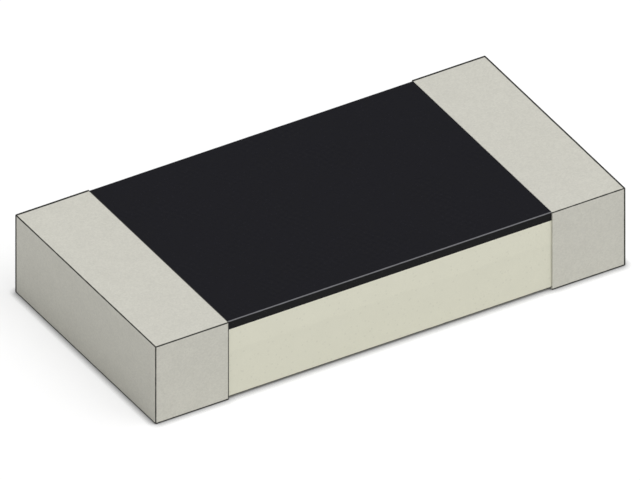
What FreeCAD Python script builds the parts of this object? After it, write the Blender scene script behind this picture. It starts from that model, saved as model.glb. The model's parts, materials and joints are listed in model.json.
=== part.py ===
"""Surface-mount chip fuse, 3.2 x 1.6 x 0.55 mm, lying flat on its solder faces.

X runs along the length, Y across the width and Z up. The origin is the middle of the underside.
The fuse is a ceramic block with prints on it. From the ceramic upwards these are a glass heat
barrier, the metal film that melts, a dot of tin on its neck, a clear seal and a black coat. Each
end has printed contacts above and below, wrapped by a cap of silver, then nickel, then tin. All
sizes are in millimetres.
"""

import FreeCAD, Part
import math
import os
import Sketcher

OUTPUT_FOLDER = "parts"
TOLERANCE = 1e-6

# Each driving size has its name, its value and what it measures.
DRIVING_SIZES = (
    ("OverallLength", 3.2, "over both end caps"),
    ("OverallWidth", 1.6, "over the sides of the end caps"),
    ("OverallHeight", 0.55, "underside to top of the end caps"),
    ("BandLength", 0.5, "how far each cap reaches in from its end"),
    ("TinThickness", 0.004, "outer plating of the cap"),
    ("NickelThickness", 0.003, "plating under the tin"),
    ("BaseThickness", 0.003, "fired silver under the nickel, on the ceramic's end and sides"),
    ("CapEdgeRadius", 0.008, "outer edges of the tin"),
    ("RimRadius", 0.003, "rounding of the tin's inner rim"),
    ("CeramicEdgeRadius", 0.004, "tumbled long edges of the ceramic"),
    ("CeramicEndBevel", 0.003, "bevel round the ceramic's end faces"),
    ("PrintMargin", 0.04, "film and contacts stop this far inside the ceramic's edges"),
    ("FilmThickness", 0.010, "metal film"),
    ("TopElectrodeThickness", 0.040, "printed contact on each land of the film"),
    ("BackElectrodeThickness", 0.005, "printed contact under the ceramic"),
    ("ElectrodeCornerRadius", 0.04, "inner corners of the printed contacts"),
    ("ElectrodeOverlap", 0.06, "top contact reaches this far in from the cap's rim"),
    ("BackElectrodeSetback", 0.04, "back contact stops this far outside the silver's rim"),
    ("LandOverlap", 0.09, "land of the film reaches this far in from its contact"),
    ("LandRadius", 0.08, "inner corner between land and arm"),
    ("ArmWidth", 0.80, "film between land and neck"),
    ("ArmRadius", 0.10, "outer corner where the arm ends"),
    ("NeckWidth", 0.12, "narrow link that melts"),
    ("NeckLength", 0.40, "straight stretch of the link"),
    ("NeckRadius", 0.22, "shoulder arc from link to arm"),
    ("BarrierThickness", 0.008, "glass pad under the link"),
    ("BarrierClearance", 0.20, "glass pad stops this far from the lands"),
    ("BarrierSideMargin", 0.15, "glass pad reaches this far past the arms' sides"),
    ("BarrierTaper", 0.04, "sloping edge of the glass pad, in plan"),
    ("BarrierCornerRadius", 0.10, "corners of the glass pad, in plan"),
    ("SpotRadius", 0.13, "dot of tin on the link, in plan"),
    ("SpotCover", 0.008, "dot of tin above the film"),
    ("SpotEdgeBevel", 0.008, "bevelled top edge of the dot of tin"),
    ("SealCover", 0.004, "clear seal above the dot of tin"),
    ("SealMargin", 0.06, "clear seal stops this far inside the glass pad's flat top"),
    ("SealTaper", 0.03, "sloping edge of the clear seal, in plan"),
    ("SealCornerRadius", 0.08, "corners of the clear seal, in plan"),
    ("CoatDrop", 0.002, "black coat lies this far below the caps' top"),
    ("CoatRecess", 0.001, "black coat stops this far inside the ceramic's sides"),
    ("CoatEdgeRadius", 0.004, "long top edges of the black coat"),
)

# A rounding or bevel never takes more than this part of the step that it turns into.
NECK_SHARE_OF_STEP = 0.65
ARM_SHARE_OF_STEP = 0.30
LAND_SHARE_OF_STEP = 0.60
BEVEL_SHARE_OF_ROUNDING = 0.75
SPOT_EDGE_SHARE_OF_HEIGHT = 0.60

CAP_THICKNESS = "(Sizes.TinThickness + Sizes.NickelThickness + Sizes.BaseThickness)"
CERAMIC_LENGTH = f"(Sizes.OverallLength - 2 * {CAP_THICKNESS})"
CERAMIC_WIDTH = f"(Sizes.OverallWidth - 2 * {CAP_THICKNESS})"
CERAMIC_BOTTOM = f"({CAP_THICKNESS} + Sizes.BackElectrodeThickness)"
FILM_TOP = f"(Sizes.OverallHeight - {CAP_THICKNESS} - Sizes.TopElectrodeThickness)"
CERAMIC_TOP = f"({FILM_TOP} - Sizes.FilmThickness)"
END_BEVEL = f"min(Sizes.CeramicEndBevel; {BEVEL_SHARE_OF_ROUNDING} * Sizes.CeramicEdgeRadius)"
RIM_X = "(Sizes.OverallLength / 2 - Sizes.BandLength)"
BAND_CENTRE_X = "(Sizes.OverallLength / 2 - Sizes.BandLength / 2)"

PRINT_END_X = f"({CERAMIC_LENGTH} / 2 - Sizes.PrintMargin)"
PRINT_WIDTH = f"({CERAMIC_WIDTH} - 2 * Sizes.PrintMargin)"
ELECTRODE_INNER_X = f"({RIM_X} - Sizes.ElectrodeOverlap)"
BACK_INNER_X = (
    f"({RIM_X} + Sizes.TinThickness + Sizes.NickelThickness + Sizes.BackElectrodeSetback)"
)
LAND_INNER_X = f"({ELECTRODE_INNER_X} - Sizes.LandOverlap)"
LAND_STEP = f"(({PRINT_WIDTH} - Sizes.ArmWidth) / 2)"
LAND_RADIUS = f"min(Sizes.LandRadius; {LAND_SHARE_OF_STEP} * {LAND_STEP})"
ARM_STEP = "((Sizes.ArmWidth - Sizes.NeckWidth) / 2)"
ARM_RADIUS = f"min(Sizes.ArmRadius; {ARM_SHARE_OF_STEP} * {ARM_STEP})"
NECK_RADIUS = f"min(Sizes.NeckRadius; {NECK_SHARE_OF_STEP} * {ARM_STEP})"
ARM_INNER_X = f"(Sizes.NeckLength / 2 + {NECK_RADIUS})"

BARRIER_LENGTH = f"(2 * ({LAND_INNER_X} - Sizes.BarrierClearance))"
BARRIER_WIDTH = "(Sizes.ArmWidth + 2 * Sizes.BarrierSideMargin)"
BARRIER_TOP = f"({CERAMIC_TOP} + Sizes.BarrierThickness)"
SPOT_HEIGHT = "(Sizes.FilmThickness + Sizes.SpotCover)"
SPOT_EDGE_BEVEL = f"min(Sizes.SpotEdgeBevel; {SPOT_EDGE_SHARE_OF_HEIGHT} * {SPOT_HEIGHT})"
SEAL_INSET = "(Sizes.BarrierTaper + Sizes.SealMargin)"
SEAL_LENGTH = f"({BARRIER_LENGTH} - 2 * {SEAL_INSET})"
SEAL_WIDTH = f"({BARRIER_WIDTH} - 2 * {SEAL_INSET})"
SEAL_HEIGHT = f"({SPOT_HEIGHT} + Sizes.SealCover)"

COAT_BOTTOM = f"({CERAMIC_TOP} - Sizes.CeramicEdgeRadius)"
COAT_TOP = "(Sizes.OverallHeight - Sizes.CoatDrop)"
COAT_WIDTH = f"({CERAMIC_WIDTH} - 2 * Sizes.CoatRecess)"

# Each skin of a cap has its depth below the tin's outer face.
TIN_DEPTH = "0"
NICKEL_DEPTH = "Sizes.TinThickness"
BASE_DEPTH = "(Sizes.TinThickness + Sizes.NickelThickness)"

# Each end of the fuse has its name and the sign of its X.
ENDS = (("left", -1), ("right", 1))

document = FreeCAD.newDocument("chip_fuse")


def make_sheet():
    """Write the driving sizes into the spreadsheet, one row each."""
    sheet = document.addObject("Spreadsheet::Sheet", "Sizes")
    for row, (name, value, meaning) in enumerate(DRIVING_SIZES, start=1):
        sheet.set(f"A{row}", name)
        sheet.set(f"B{row}", str(value))
        sheet.setAlias(f"B{row}", name)
        sheet.set(f"C{row}", meaning)
    document.recompute()
    return sheet


sizes = make_sheet()


def measure(expression):
    """Give the present value of an expression, in millimetres."""
    return float(sizes.evalExpression(expression))


def make_body(name):
    """Add an empty body whose label is its name."""
    body = document.addObject("PartDesign::Body", name)
    body.Label = name
    return body


def place(item, x="0", z="0"):
    """Bind the place of an item to the sizes."""
    item.setExpression("Placement.Base.x", x)
    item.setExpression("Placement.Base.z", z)


def add_sketch(body, name, plane_role, height="0"):
    """Attach a new sketch to one of the body's origin planes, lifted by a height."""
    sketch = body.newObject("Sketcher::SketchObject", name)
    plane = next(item for item in body.Origin.OriginFeatures if item.Role == plane_role)
    sketch.AttachmentSupport = [(plane, "")]
    sketch.MapMode = "FlatFace"
    sketch.setExpression("AttachmentOffset.Base.z", height)
    return sketch


def pin(sketch, kind, geometry, vertex, expression):
    """Hold one coordinate of a sketch vertex at an expression."""
    constraint = Sketcher.Constraint(kind, -1, 1, geometry, vertex, measure(expression))
    index = sketch.addConstraint(constraint)
    sketch.setExpression(f"Constraints[{index}]", expression)


def draw_polygon(sketch, corners):
    """Draw a closed outline through corners, each a pair of expressions."""
    points = [FreeCAD.Vector(measure(x), measure(y), 0) for x, y in corners]
    count = len(points)
    for index, point in enumerate(points):
        sketch.addGeometry(Part.LineSegment(point, points[(index + 1) % count]), False)
    for index in range(count):
        sketch.addConstraint(Sketcher.Constraint("Coincident", index, 2, (index + 1) % count, 1))
    for index, (x, y) in enumerate(corners):
        pin(sketch, "DistanceX", index, 1, x)
        pin(sketch, "DistanceY", index, 1, y)


def draw_rectangle(sketch, length, width):
    """Draw a rectangle centred on the sketch's origin."""
    right = f"({length}) / 2"
    top = f"({width}) / 2"
    left = f"-({length}) / 2"
    bottom = f"-({width}) / 2"
    draw_polygon(sketch, ((left, bottom), (right, bottom), (right, top), (left, top)))


def draw_rounded_rectangle(sketch, length, width, radius):
    """Draw a centred rectangle whose four corners are tangent arcs of one radius."""
    half_length = measure(length) / 2
    half_width = measure(width) / 2
    arc_radius = measure(radius)
    inner_x = half_length - arc_radius
    inner_y = half_width - arc_radius
    side_lines = (
        ((-inner_x, -half_width), (inner_x, -half_width)),
        ((half_length, -inner_y), (half_length, inner_y)),
        ((inner_x, half_width), (-inner_x, half_width)),
        ((-half_length, inner_y), (-half_length, -inner_y)),
    )
    arc_centres = ((inner_x, -inner_y), (inner_x, inner_y), (-inner_x, inner_y), (-inner_x, -inner_y))
    side_count = len(side_lines)
    quarter_turn = math.pi / 2
    normal = FreeCAD.Vector(0, 0, 1)
    for start, end in side_lines:
        sketch.addGeometry(Part.LineSegment(FreeCAD.Vector(*start, 0), FreeCAD.Vector(*end, 0)), False)
    for turn, centre in enumerate(arc_centres, start=-1):
        circle = Part.Circle(FreeCAD.Vector(*centre, 0), normal, arc_radius)
        arc = Part.ArcOfCircle(circle, turn * quarter_turn, (turn + 1) * quarter_turn)
        sketch.addGeometry(arc, False)
    for side in range(side_count):
        arc = side_count + side
        sketch.addConstraint(Sketcher.Constraint("Tangent", side, 2, arc, 1))
        sketch.addConstraint(Sketcher.Constraint("Tangent", arc, 2, (side + 1) % side_count, 1))
        direction = "Horizontal" if side % 2 == 0 else "Vertical"
        sketch.addConstraint(Sketcher.Constraint(direction, side))
    for arc in range(side_count + 1, 2 * side_count):
        sketch.addConstraint(Sketcher.Constraint("Equal", side_count, arc))
    radius_index = sketch.addConstraint(Sketcher.Constraint("Radius", side_count, arc_radius))
    sketch.setExpression(f"Constraints[{radius_index}]", radius)
    pin(sketch, "DistanceY", 0, 1, f"-({width}) / 2")
    pin(sketch, "DistanceX", 1, 1, f"({length}) / 2")
    pin(sketch, "DistanceY", 2, 1, f"({width}) / 2")
    pin(sketch, "DistanceX", 3, 1, f"-({length}) / 2")


def pad(body, sketch, length, symmetric=False):
    """Extrude a sketch, upwards or to both sides of its plane."""
    feature = body.newObject("PartDesign::Pad", f"{sketch.Name}_pad")
    feature.Profile = sketch
    feature.Midplane = symmetric
    feature.setExpression("Length", length)
    document.recompute()
    return feature


def pick_edges(base, wanted):
    """Name the edges of a feature that the test wanted picks out."""
    edges = enumerate(base.Shape.Edges, start=1)
    return (base, [f"Edge{number}" for number, edge in edges if wanted(edge)])


def fillet(body, base, name, radius, wanted):
    """Round the picked edges of a feature."""
    feature = body.newObject("PartDesign::Fillet", name)
    feature.Base = pick_edges(base, wanted)
    feature.setExpression("Radius", radius)
    document.recompute()
    return feature


def chamfer(body, base, name, size, wanted):
    """Bevel the picked edges of a feature."""
    feature = body.newObject("PartDesign::Chamfer", name)
    feature.Base = pick_edges(base, wanted)
    feature.setExpression("Size", size)
    document.recompute()
    return feature


def loft(body, lower, upper, name):
    """Join two sketches with straight-sided walls."""
    feature = body.newObject("PartDesign::AdditiveLoft", name)
    feature.Profile = lower
    feature.Sections = [upper]
    feature.Ruled = True
    document.recompute()
    return feature


def fuse_all(name, items):
    """Join several items into one tool for a cut."""
    fused = document.addObject("Part::MultiFuse", name)
    fused.Shapes = items
    document.recompute()
    return fused


def cut(name, base, tool):
    """Take a tool's solid away from a base."""
    result = document.addObject("Part::Cut", name)
    result.Label = name
    result.Base = base
    result.Tool = tool
    result.Refine = True
    document.recompute()
    return result


def is_upright(edge):
    """Tell whether an edge stands along Z."""
    box = edge.BoundBox
    return box.XLength < TOLERANCE and box.YLength < TOLERANCE


def stands_at(x, y):
    """Make a test for upright edges at plus or minus the given plan position."""
    wanted_x = measure(x)
    wanted_y = measure(y)

    def wanted(edge):
        centre = edge.CenterOfMass
        at_x = abs(abs(centre.x) - wanted_x) < TOLERANCE
        at_y = abs(abs(centre.y) - wanted_y) < TOLERANCE
        return is_upright(edge) and at_x and at_y

    return wanted


def make_ceramic():
    """Build the ceramic block, its long edges tumbled round and its end faces bevelled."""
    body = make_body("ceramic_substrate")
    outline = add_sketch(body, "ceramic_outline", "XY_Plane")
    draw_rectangle(outline, CERAMIC_LENGTH, CERAMIC_WIDTH)
    block = pad(body, outline, f"{CERAMIC_TOP} - {CERAMIC_BOTTOM}")
    end_x = measure(CERAMIC_LENGTH) / 2

    def is_long(edge):
        return edge.BoundBox.XLength > end_x

    def is_on_end_face(edge):
        box = edge.BoundBox
        return min(abs(box.XMin), abs(box.XMax)) > end_x - TOLERANCE

    tumbled = fillet(body, block, "ceramic_edges", "Sizes.CeramicEdgeRadius", is_long)
    chamfer(body, tumbled, "ceramic_end_bevels", END_BEVEL, is_on_end_face)
    place(body, z=CERAMIC_BOTTOM)
    return body


def make_barrier():
    """Build the glass pad under the link, a low flat-topped mound."""
    body = make_body("thermal_barrier")
    foot = add_sketch(body, "barrier_foot", "XY_Plane")
    draw_rounded_rectangle(foot, BARRIER_LENGTH, BARRIER_WIDTH, "Sizes.BarrierCornerRadius")
    crest = add_sketch(body, "barrier_crest", "XY_Plane", "Sizes.BarrierThickness")
    draw_rounded_rectangle(
        crest,
        f"{BARRIER_LENGTH} - 2 * Sizes.BarrierTaper",
        f"{BARRIER_WIDTH} - 2 * Sizes.BarrierTaper",
        "Sizes.BarrierCornerRadius - Sizes.BarrierTaper",
    )
    loft(body, foot, crest, "barrier_mound")
    place(body, z=CERAMIC_TOP)
    return body


def film_outline_corners():
    """List the film's plan corners anticlockwise, from one quarter and its mirror images."""
    quarter = (
        (ARM_INNER_X, "Sizes.NeckWidth / 2"),
        (ARM_INNER_X, "Sizes.ArmWidth / 2"),
        (LAND_INNER_X, "Sizes.ArmWidth / 2"),
        (LAND_INNER_X, f"{PRINT_WIDTH} / 2"),
        (PRINT_END_X, f"{PRINT_WIDTH} / 2"),
    )
    corners = []
    for x_sign, y_sign in (("", "-"), ("", ""), ("-", ""), ("-", "-")):
        images = [(f"{x_sign}{x}", f"{y_sign}{y}") for x, y in quarter]
        if x_sign != y_sign:
            corners += images
        else:
            corners += reversed(images)
    return corners


def make_film_plan():
    """Build the film's outline as a plate: wide lands, arms, shoulder arcs and the neck."""
    body = make_body("film_plan")
    outline = add_sketch(body, "film_outline", "XY_Plane")
    draw_polygon(outline, film_outline_corners())
    plate = pad(body, outline, "2 * (Sizes.BarrierThickness + Sizes.FilmThickness)")
    half_neck = "Sizes.NeckWidth / 2"
    half_arm = "Sizes.ArmWidth / 2"
    shoulders = fillet(
        body, plate, "film_shoulders", NECK_RADIUS, stands_at(ARM_INNER_X, half_neck)
    )
    arm_ends = fillet(
        body, shoulders, "film_arm_ends", ARM_RADIUS, stands_at(ARM_INNER_X, half_arm)
    )
    fillet(body, arm_ends, "film_land_corners", LAND_RADIUS, stands_at(LAND_INNER_X, half_arm))
    place(body, z=CERAMIC_TOP)
    return body


def make_film_drape():
    """Build the film's long section, flat on the ceramic and lifted over the glass pad."""
    body = make_body("film_drape")
    foot_x = f"{BARRIER_LENGTH} / 2"
    crest_x = f"({BARRIER_LENGTH} / 2 - Sizes.BarrierTaper)"
    underside = (
        (f"-{PRINT_END_X}", "0"),
        (f"-{foot_x}", "0"),
        (f"-{crest_x}", "Sizes.BarrierThickness"),
        (crest_x, "Sizes.BarrierThickness"),
        (foot_x, "0"),
        (PRINT_END_X, "0"),
    )
    topside = [(x, f"{z} + Sizes.FilmThickness") for x, z in reversed(underside)]
    section = add_sketch(body, "film_section", "XZ_Plane")
    draw_polygon(section, list(underside) + topside)
    pad(body, section, PRINT_WIDTH, symmetric=True)
    place(body, z=CERAMIC_TOP)
    return body


def make_fuse_element():
    """Build the film as what its outline and its long section have in common."""
    element = document.addObject("Part::Common", "fuse_element")
    element.Label = "fuse_element"
    element.Base = make_film_drape()
    element.Tool = make_film_plan()
    document.recompute()
    return element


def make_tin_spot(element):
    """Build the dot of tin that straddles the neck of the film, bevelled at its top edge."""
    body = make_body("spot_dot")
    outline = add_sketch(body, "spot_outline", "XY_Plane")
    radius = measure("Sizes.SpotRadius")
    upward = FreeCAD.Vector(0, 0, 1)
    outline.addGeometry(Part.Circle(FreeCAD.Vector(0, 0, 0), upward, radius), False)
    circle, circle_centre, sketch_axes, sketch_origin = 0, 3, -1, 1
    outline.addConstraint(
        Sketcher.Constraint("Coincident", circle, circle_centre, sketch_axes, sketch_origin)
    )
    radius_index = outline.addConstraint(Sketcher.Constraint("Radius", circle, radius))
    outline.setExpression(f"Constraints[{radius_index}]", "Sizes.SpotRadius")
    dot = pad(body, outline, SPOT_HEIGHT)
    top_z = measure(SPOT_HEIGHT)

    def is_top_edge(edge):
        return edge.BoundBox.ZMin > top_z - TOLERANCE

    chamfer(body, dot, "spot_edge", SPOT_EDGE_BEVEL, is_top_edge)
    place(body, z=BARRIER_TOP)
    return cut("tin_spot", body, element)


def make_seal_mound():
    """Build the whole mound of the clear seal, before the film and the tin take their space."""
    body = make_body("seal_mound")
    foot = add_sketch(body, "seal_foot", "XY_Plane")
    draw_rounded_rectangle(foot, SEAL_LENGTH, SEAL_WIDTH, "Sizes.SealCornerRadius")
    crest = add_sketch(body, "seal_crest", "XY_Plane", SEAL_HEIGHT)
    draw_rounded_rectangle(
        crest,
        f"{SEAL_LENGTH} - 2 * Sizes.SealTaper",
        f"{SEAL_WIDTH} - 2 * Sizes.SealTaper",
        "Sizes.SealCornerRadius - Sizes.SealTaper",
    )
    loft(body, foot, crest, "seal_loft")
    place(body, z=BARRIER_TOP)
    return body


def make_electrode(name, sign, inner_x, thickness, bottom):
    """Build one printed contact, rounded at its two inner corners."""
    body = make_body(name)
    outline = add_sketch(body, f"{name}_outline", "XY_Plane")
    length = f"({PRINT_END_X} - {inner_x})"
    draw_rectangle(outline, length, PRINT_WIDTH)
    plate = pad(body, outline, thickness)

    def is_inner_corner(edge):
        return is_upright(edge) and sign * edge.CenterOfMass.x < 0

    fillet(body, plate, f"{name}_corners", "Sizes.ElectrodeCornerRadius", is_inner_corner)
    place(body, x=f"{sign} * ({PRINT_END_X} + {inner_x}) / 2", z=bottom)
    return body


def make_envelope(name, sign, depth):
    """Build the outer form of one skin of a cap, a block with every edge but the rim's rounded.

    Plating builds up at edges, so the skins grow less round than their thickness would make
    them. Their rounding passes evenly from the ceramic's to the tin's.
    """
    body = make_body(name)
    outline = add_sketch(body, f"{name}_outline", "XY_Plane")
    length = f"(Sizes.BandLength - 2 * {depth})"
    draw_rectangle(outline, length, f"(Sizes.OverallWidth - 2 * {depth})")
    block = pad(body, outline, f"Sizes.OverallHeight - 2 * {depth}")
    rim_x = -sign * measure(length) / 2

    def is_off_rim(edge):
        return abs(edge.CenterOfMass.x - rim_x) > TOLERANCE

    growth = "(Sizes.CapEdgeRadius - Sizes.CeramicEdgeRadius)"
    radius = f"Sizes.CeramicEdgeRadius + {growth} * (1 - {depth} / {CAP_THICKNESS})"
    fillet(body, block, f"{name}_edges", radius, is_off_rim)
    place(body, x=f"{sign} * {BAND_CENTRE_X}", z=depth)
    return body


def round_rim(envelope, sign):
    """Round the rim of the tin's envelope, where it stops on the ceramic and at the coat."""
    rim_x = -sign * measure("Sizes.BandLength") / 2

    def is_on_rim(edge):
        box = edge.BoundBox
        return abs(box.XMin - rim_x) < TOLERANCE and abs(box.XMax - rim_x) < TOLERANCE

    fillet(envelope, envelope.Tip, f"{envelope.Name}_rim", "Sizes.RimRadius", is_on_rim)


def make_cap(end, sign, core):
    """Build the three skins of one cap, each less what lies under it."""
    base_envelope = make_envelope(f"base_envelope_{end}", sign, BASE_DEPTH)
    nickel_envelope = make_envelope(f"nickel_envelope_{end}", sign, NICKEL_DEPTH)
    tin_envelope = make_envelope(f"tin_envelope_{end}", sign, TIN_DEPTH)
    round_rim(tin_envelope, sign)
    under_nickel = fuse_all(f"under_nickel_{end}", [core, base_envelope])
    under_tin = fuse_all(f"under_tin_{end}", [core, nickel_envelope])
    return [
        cut(f"base_cap_{end}", base_envelope, core),
        cut(f"nickel_barrier_{end}", nickel_envelope, under_nickel),
        cut(f"tin_cap_{end}", tin_envelope, under_tin),
    ]


def make_overcoat(core, covered):
    """Build the black coat, which flows over everything printed between the caps."""
    body = make_body("coat_block")
    outline = add_sketch(body, "coat_outline", "XY_Plane")
    draw_rectangle(outline, f"2 * {RIM_X}", COAT_WIDTH)
    block = pad(body, outline, f"{COAT_TOP} - {COAT_BOTTOM}")
    top_z = measure(f"{COAT_TOP} - {COAT_BOTTOM}")

    def is_long_top_edge(edge):
        return edge.BoundBox.YLength < TOLERANCE and edge.BoundBox.ZMin > top_z - TOLERANCE

    fillet(body, block, "coat_edges", "Sizes.CoatEdgeRadius", is_long_top_edge)
    place(body, z=COAT_BOTTOM)
    return cut("overcoat", body, fuse_all("under_coat", [core] + covered))


def make_fuse():
    """Build every sub-part and give them in the order from the ceramic outwards."""
    ceramic = make_ceramic()
    barrier = make_barrier()
    element = make_fuse_element()
    spot = make_tin_spot(element)
    seal_mound = make_seal_mound()
    seal = cut("passivation", seal_mound, fuse_all("under_seal", [element, spot]))
    contacts = []
    for end, sign in ENDS:
        contacts.append(
            make_electrode(
                f"top_electrode_{end}",
                sign,
                ELECTRODE_INNER_X,
                "Sizes.TopElectrodeThickness",
                FILM_TOP,
            )
        )
        contacts.append(
            make_electrode(
                f"back_electrode_{end}",
                sign,
                BACK_INNER_X,
                "Sizes.BackElectrodeThickness",
                CAP_THICKNESS,
            )
        )
    core = fuse_all("core", [ceramic, element] + contacts)
    caps = []
    for end, sign in ENDS:
        caps += make_cap(end, sign, core)
    overcoat = make_overcoat(core, [barrier, spot, seal_mound])
    return [ceramic, barrier, element, spot, seal, overcoat] + contacts + caps


def check_document():
    """Stop if any object of the document failed to compute."""
    for item in document.Objects:
        faults = {"Invalid", "Error"} & set(item.State)
        if faults:
            raise RuntimeError(f"{item.Name} is {', '.join(sorted(faults))}")


def check_sub_part(item):
    """Stop unless a sub-part is one valid solid."""
    shape = item.Shape
    if shape.isNull() or not shape.isValid():
        raise RuntimeError(f"{item.Label} has no valid shape")
    if len(shape.Solids) != 1:
        raise RuntimeError(f"{item.Label} has {len(shape.Solids)} solids instead of one")


def write_sub_parts(sub_parts):
    """Write each sub-part to its own file, named by its label."""
    os.makedirs(OUTPUT_FOLDER, exist_ok=True)
    for item in sub_parts:
        item.Shape.exportStep(os.path.join(OUTPUT_FOLDER, f"{item.Label}.step"))
        print(f"{item.Label}: {item.Shape.Volume:.6f} mm3")


fuse = make_fuse()
document.recompute()
check_document()
for sub_part in fuse:
    check_sub_part(sub_part)
write_sub_parts(fuse)
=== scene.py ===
"""Looks of a surface-mount chip fuse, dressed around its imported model.

The fuse is 3.2 x 1.6 x 0.55 mm and lies flat: a beige ceramic block with a black printed coat on
top and a matt tin cap wrapped round each end. X runs along the length, Y across the width and Z
up. The four pieces that show, the ceramic, the coat and the two tin skins, are built here in fine
meshes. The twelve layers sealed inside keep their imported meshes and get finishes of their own.

Lengths are in millimetres, angles in degrees, and a scale is how often something comes in a
millimetre. Pieces turn into metres when they are built.
"""

import functools
import json
import logging
import math
from dataclasses import dataclass, field
from enum import Enum
from typing import Callable, Iterable

import bmesh
import bpy
from mathutils import Matrix, Vector, noise
from mathutils.bvhtree import BVHTree

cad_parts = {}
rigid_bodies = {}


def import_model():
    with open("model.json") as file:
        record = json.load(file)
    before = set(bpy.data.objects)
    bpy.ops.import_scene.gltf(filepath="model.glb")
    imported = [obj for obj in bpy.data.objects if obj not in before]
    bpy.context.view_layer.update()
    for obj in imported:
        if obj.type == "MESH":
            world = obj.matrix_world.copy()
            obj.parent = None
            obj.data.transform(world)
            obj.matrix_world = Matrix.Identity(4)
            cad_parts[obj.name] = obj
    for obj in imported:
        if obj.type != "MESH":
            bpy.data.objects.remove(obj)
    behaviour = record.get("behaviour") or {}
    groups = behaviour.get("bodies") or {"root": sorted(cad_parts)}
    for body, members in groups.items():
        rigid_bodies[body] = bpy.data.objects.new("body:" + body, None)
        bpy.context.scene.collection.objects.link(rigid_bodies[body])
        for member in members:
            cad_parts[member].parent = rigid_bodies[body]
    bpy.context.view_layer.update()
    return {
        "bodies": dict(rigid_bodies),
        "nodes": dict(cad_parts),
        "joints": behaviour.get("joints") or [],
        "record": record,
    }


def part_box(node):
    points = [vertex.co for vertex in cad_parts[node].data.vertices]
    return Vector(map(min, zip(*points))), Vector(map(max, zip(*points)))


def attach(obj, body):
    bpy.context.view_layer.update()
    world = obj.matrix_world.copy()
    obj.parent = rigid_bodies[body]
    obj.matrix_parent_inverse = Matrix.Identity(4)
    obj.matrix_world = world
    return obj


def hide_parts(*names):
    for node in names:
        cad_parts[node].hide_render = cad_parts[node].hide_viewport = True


METRE = 1000.0  # in millimetres
BODY = "root"
MERGE_DISTANCE = 1e-5
SHARP_ANGLE = 40.0
WHITE = (1.0, 1.0, 1.0, 1.0)
# The least and the most height that the grain effect mostly gives.
GRAIN_HEIGHTS = (0.4, 0.95)
# A coordinate so far past the fuse that a block's edges there leave no mark.
FAR = 9.0

Colour = tuple[float, float, float]
Corner = tuple[float, float, float]
Point = tuple[float, float]
Range = tuple[float, float]
Socket = bpy.types.NodeSocket
Sockets = bpy.types.bpy_prop_collection
Feed = Socket | Vector | float | tuple[float, ...]

log = logging.getLogger("chip_fuse")


class End(Enum):
    """The two ends of the fuse, each with the sign of its X."""

    LEFT = -1
    RIGHT = 1

    @property
    def label(self) -> str:
        """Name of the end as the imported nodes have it."""
        return self.name.lower()


class Ray(Enum):
    """Kinds of ray that see the white background itself and not the soft light."""

    CAMERA = "Is Camera Ray"
    GLOSSY = "Is Glossy Ray"
    TRANSMISSION = "Is Transmission Ray"


# Node sheets


class NodeBench:
    """Adds and joins the nodes of one material, world or node group."""

    def __init__(self, tree: bpy.types.NodeTree) -> None:
        """Start with an empty tree."""
        self.tree = tree
        tree.nodes.clear()

    def feed(self, target: Socket, value: Feed) -> None:
        """Join a socket to an input, or write a plain value on it.

        Args:
            target: the input socket.
            value: an output socket, a number, a vector or a tuple.
        """
        if isinstance(value, bpy.types.NodeSocket):
            self.tree.links.new(value, target)
        else:
            target.default_value = value

    def add(self, kind: str, *values: Feed, **named: object) -> Sockets:
        """Add a node, set its properties and feed its inputs.

        Args:
            kind: the node's type without its prefix, such as "Math".
            values: what goes into its first inputs, in order.
            named: properties, in small letters, and other inputs, with _ for a space.

        Returns:
            The node's outputs.
        """
        node = self.tree.nodes.new(f"ShaderNode{kind}")
        for target, value in zip(node.inputs, values):
            self.feed(target, value)
        for name, value in named.items():
            if name.islower():
                setattr(node, name, value)
            else:
                self.feed(node.inputs[name.replace("_", " ")], value)
        return node.outputs

    def maths(self, operation: str, *values: Feed) -> Socket:
        """Add a Math node and give its result."""
        return self.add("Math", *values, operation=operation)[0]

    def greatest(self, values: Iterable[Socket]) -> Socket:
        """Give the greatest of several values."""
        return functools.reduce(lambda most, value: self.maths("MAXIMUM", most, value), values)

    def vector_maths(self, operation: str, *values: Feed, **named: Feed) -> Socket:
        """Add a Vector Math node and give its vector."""
        return self.add("VectorMath", *values, operation=operation, **named)[0]

    def scaled(self, vector: Feed, factor: Feed) -> Socket:
        """Give a vector times a number."""
        return self.vector_maths("SCALE", vector, Scale=factor)

    def split(self, vector: Feed) -> Sockets:
        """Give the three values of a vector or a colour."""
        return self.add("SeparateXYZ", vector)

    def noise(self, position: Feed, scale: Feed, detail: float) -> Socket:
        """Add a Noise Texture and give its value."""
        return self.add("TexNoise", Vector=position, Scale=scale, Detail=detail, Roughness=0.55)[0]

    def cells(self, position: Feed, scale: Feed) -> Sockets:
        """Add a Voronoi Texture and give its outputs."""
        return self.add("TexVoronoi", Vector=position, Scale=scale)

    def remap(self, value: Feed, source: Range, target: Range, smooth: bool = False) -> Socket:
        """Map one range of a value to another, clamped, on a straight or a smooth slope."""
        slope = "SMOOTHSTEP" if smooth else "LINEAR"
        return self.add("MapRange", value, *source, *target, interpolation_type=slope)[0]

    def mix(self, factor: Feed, first: Feed, second: Feed, blend: str = "MIX") -> Socket:
        """Mix two colours.

        Args:
            factor: the share of the second colour.
            first: the first colour.
            second: the second colour.
            blend: how they mix, such as "MULTIPLY".

        Returns:
            The mixed colour.
        """
        mixed = self.add("Mix", factor, data_type="RGBA", blend_type=blend)[2]
        # Its colour sockets come after those for numbers and vectors.
        self.feed(mixed.node.inputs[6], first)
        self.feed(mixed.node.inputs[7], second)
        return mixed

    def shaded(self, colour: Feed, shade: Socket) -> Socket:
        """Give a colour times a value that changes over the surface."""
        return self.mix(1.0, colour, shade, blend="MULTIPLY")


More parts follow.
